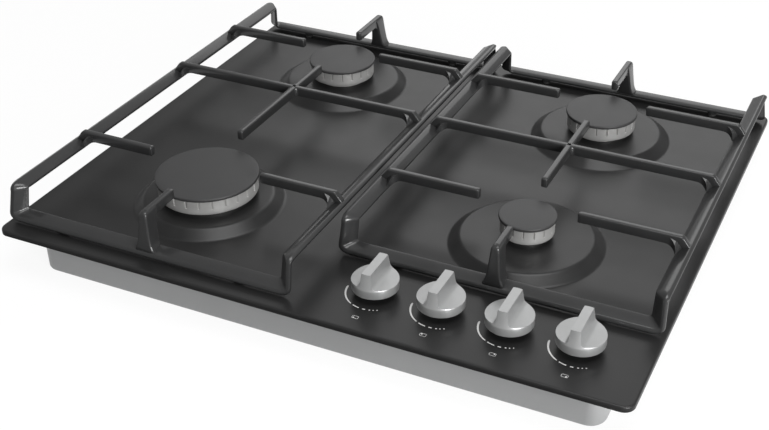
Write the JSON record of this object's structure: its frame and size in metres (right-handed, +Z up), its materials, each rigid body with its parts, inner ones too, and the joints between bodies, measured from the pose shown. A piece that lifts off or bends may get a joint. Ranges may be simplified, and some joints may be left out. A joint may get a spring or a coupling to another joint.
{
  "type": "gas cooktop",
  "caption": "Built-in gas cooktop: dark enamel tray on a steel box, sealed burners under cast pan supports that lift off, and a row of turning push knobs in front.",
  "frame": {"origin": "centre of the burner box's floor, on its underside, which is also the bottom centre of the bounding box", "axes": "+X to the right along the width, +Y from the knobs to the rear, +Z up"},
  "size_m": [0.6, 0.51, 0.093],
  "materials": {
    "tray_enamel": "semi-gloss dark enamel",
    "support_enamel": "satin black enamel on cast iron",
    "galvanised_steel": "bare galvanised sheet",
    "burner_aluminium": "as cast, lightly blasted",
    "bare_aluminium": "die cast or drawn, dull",
    "cap_enamel": "satin black enamel",
    "knob_paint": "silver metallic paint",
    "brass": "machined",
    "pipe_steel": "drawn tube, bare",
    "spark_ceramic": "white, unglazed",
    "foot_rubber": "black silicone rubber",
    "seal_foam": "closed-cell foam strip",
    "electric_plastic": "moulded, matt"
  },
  "bodies": {
    "root": {"top_plate": "tray_enamel", "burner_box": "galvanised_steel", "worktop_seal": "seal_foam", "burner_cup_front_left": "burner_aluminium", "spark_electrode_front_left": "spark_ceramic", "flame_sensor_front_left": "pipe_steel", "gas_pipe_front_left": "bare_aluminium", "burner_cup_rear_left": "burner_aluminium", "spark_electrode_rear_left": "spark_ceramic", "flame_sensor_rear_left": "pipe_steel", "gas_pipe_rear_left": "bare_aluminium", "burner_cup_front_right": "burner_aluminium", "spark_electrode_front_right": "spark_ceramic", "flame_sensor_front_right": "pipe_steel", "gas_pipe_front_right": "bare_aluminium", "burner_cup_rear_right": "burner_aluminium", "spark_electrode_rear_right": "spark_ceramic", "flame_sensor_rear_right": "pipe_steel", "gas_pipe_rear_right": "bare_aluminium", "tap_body_1": "bare_aluminium", "tap_body_2": "bare_aluminium", "tap_body_3": "bare_aluminium", "tap_body_4": "bare_aluminium", "gas_rail": "pipe_steel", "spark_generator": "electric_plastic", "mains_cord_gland": "electric_plastic"},
    "left_pan_support": {"pan_support_left": "support_enamel", "foot_left_front_left": "foot_rubber", "foot_left_front_right": "foot_rubber", "foot_left_rear_left": "foot_rubber", "foot_left_rear_right": "foot_rubber"},
    "right_pan_support": {"pan_support_right": "support_enamel", "foot_right_front_left": "foot_rubber", "foot_right_front_right": "foot_rubber", "foot_right_rear_left": "foot_rubber", "foot_right_rear_right": "foot_rubber"},
    "front_left_crown": {"burner_crown_front_left": "burner_aluminium"},
    "front_left_cap": {"burner_cap_front_left": "cap_enamel"},
    "rear_left_crown": {"burner_crown_rear_left": "burner_aluminium"},
    "rear_left_cap": {"burner_cap_rear_left": "cap_enamel"},
    "front_right_crown": {"burner_crown_front_right": "burner_aluminium"},
    "front_right_cap": {"burner_cap_front_right": "cap_enamel"},
    "rear_right_crown": {"burner_crown_rear_right": "burner_aluminium"},
    "rear_right_cap": {"burner_cap_rear_right": "cap_enamel"},
    "tap_1": {"tap_plug_1": "brass"},
    "control_1": {"tap_spindle_1": "pipe_steel", "knob_1": "knob_paint"},
    "tap_2": {"tap_plug_2": "brass"},
    "control_2": {"tap_spindle_2": "pipe_steel", "knob_2": "knob_paint"},
    "tap_3": {"tap_plug_3": "brass"},
    "control_3": {"tap_spindle_3": "pipe_steel", "knob_3": "knob_paint"},
    "tap_4": {"tap_plug_4": "brass"},
    "control_4": {"tap_spindle_4": "pipe_steel", "knob_4": "knob_paint"}
  },
  "joints": [
    {"name": "left_pan_support_lift", "type": "slide", "parent": "root", "child": "left_pan_support", "axis": [0, 0, 1], "range_m": [0, 0.06]},
    {"name": "right_pan_support_lift", "type": "slide", "parent": "root", "child": "right_pan_support", "axis": [0, 0, 1], "range_m": [0, 0.06]},
    {"name": "front_left_crown_lift", "type": "slide", "parent": "root", "child": "front_left_crown", "axis": [0, 0, 1], "range_m": [0, 0.06]},
    {"name": "front_left_cap_lift", "type": "slide", "parent": "front_left_crown", "child": "front_left_cap", "axis": [0, 0, 1], "range_m": [0, 0.06]},
    {"name": "rear_left_crown_lift", "type": "slide", "parent": "root", "child": "rear_left_crown", "axis": [0, 0, 1], "range_m": [0, 0.06]},
    {"name": "rear_left_cap_lift", "type": "slide", "parent": "rear_left_crown", "child": "rear_left_cap", "axis": [0, 0, 1], "range_m": [0, 0.06]},
    {"name": "front_right_crown_lift", "type": "slide", "parent": "root", "child": "front_right_crown", "axis": [0, 0, 1], "range_m": [0, 0.06]},
    {"name": "front_right_cap_lift", "type": "slide", "parent": "front_right_crown", "child": "front_right_cap", "axis": [0, 0, 1], "range_m": [0, 0.06]},
    {"name": "rear_right_crown_lift", "type": "slide", "parent": "root", "child": "rear_right_crown", "axis": [0, 0, 1], "range_m": [0, 0.06]},
    {"name": "rear_right_cap_lift", "type": "slide", "parent": "rear_right_crown", "child": "rear_right_cap", "axis": [0, 0, 1], "range_m": [0, 0.06]},
    {"name": "tap_1_turn", "type": "hinge", "parent": "root", "child": "tap_1", "pos_m": [0.0588, -0.1999, 0.06], "axis": [0, 0, 1], "range_deg": [0, 210]},
    {"name": "knob_1_push", "type": "slide", "parent": "tap_1", "child": "control_1", "axis": [0, 0, -1], "range_m": [0, 0.0035], "stiffness_N_per_m": 1500, "springref_m": -0.002},
    {"name": "tap_2_turn", "type": "hinge", "parent": "root", "child": "tap_2", "pos_m": [0.1194, -0.1999, 0.06], "axis": [0, 0, 1], "range_deg": [0, 210]},
    {"name": "knob_2_push", "type": "slide", "parent": "tap_2", "child": "control_2", "axis": [0, 0, -1], "range_m": [0, 0.0035], "stiffness_N_per_m": 1500, "springref_m": -0.002},
    {"name": "tap_3_turn", "type": "hinge", "parent": "root", "child": "tap_3", "pos_m": [0.18, -0.1999, 0.06], "axis": [0, 0, 1], "range_deg": [0, 210]},
    {"name": "knob_3_push", "type": "slide", "parent": "tap_3", "child": "control_3", "axis": [0, 0, -1], "range_m": [0, 0.0035], "stiffness_N_per_m": 1500, "springref_m": -0.002},
    {"name": "tap_4_turn", "type": "hinge", "parent": "root", "child": "tap_4", "pos_m": [0.2406, -0.1999, 0.06], "axis": [0, 0, 1], "range_deg": [0, 210]},
    {"name": "knob_4_push", "type": "slide", "parent": "tap_4", "child": "control_4", "axis": [0, 0, -1], "range_m": [0, 0.0035], "stiffness_N_per_m": 1500, "springref_m": -0.002}
  ]
}
